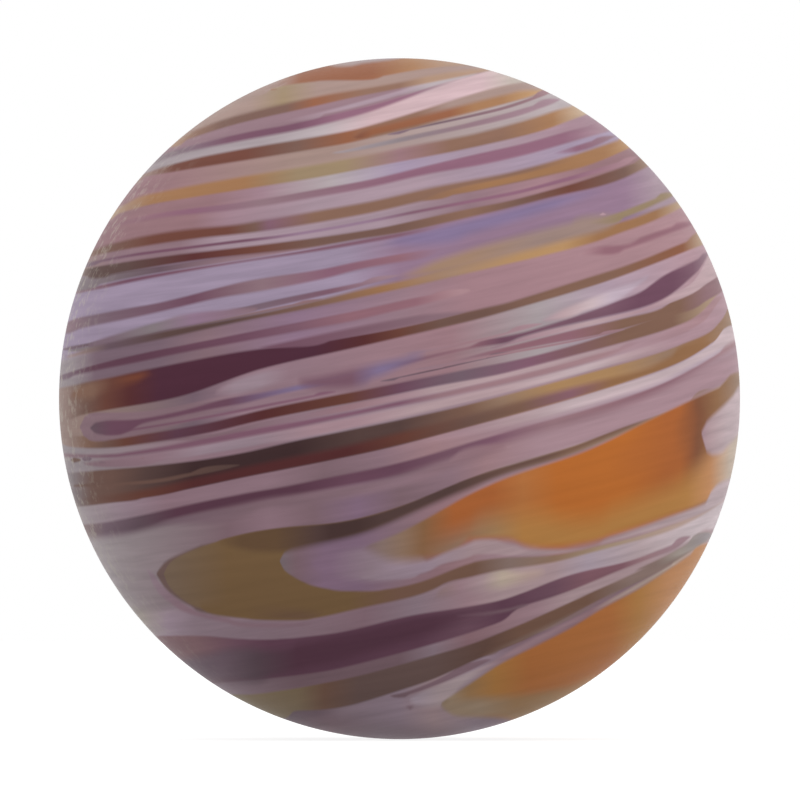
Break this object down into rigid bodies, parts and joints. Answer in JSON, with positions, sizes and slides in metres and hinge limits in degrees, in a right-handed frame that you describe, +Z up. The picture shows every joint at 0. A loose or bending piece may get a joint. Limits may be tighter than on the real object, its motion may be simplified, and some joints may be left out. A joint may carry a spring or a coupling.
{
  "type": "glass marble",
  "caption": "Solid ball of opaque swirled glass, with lilac, plum, umber and amber layers and pockets running through it.",
  "frame": {"origin": "centre of the ball", "axes": "+Z up, across the swirl's layers; +X to the right along the swirl, seen from the front; the front, which the picture shows, faces -Y"},
  "size_m": [0.016, 0.016, 0.016],
  "materials": {
    "swirled_glass": "satin"
  },
  "bodies": {
    "root": {"marble": "swirled_glass"}
  },
  "joints": []
}
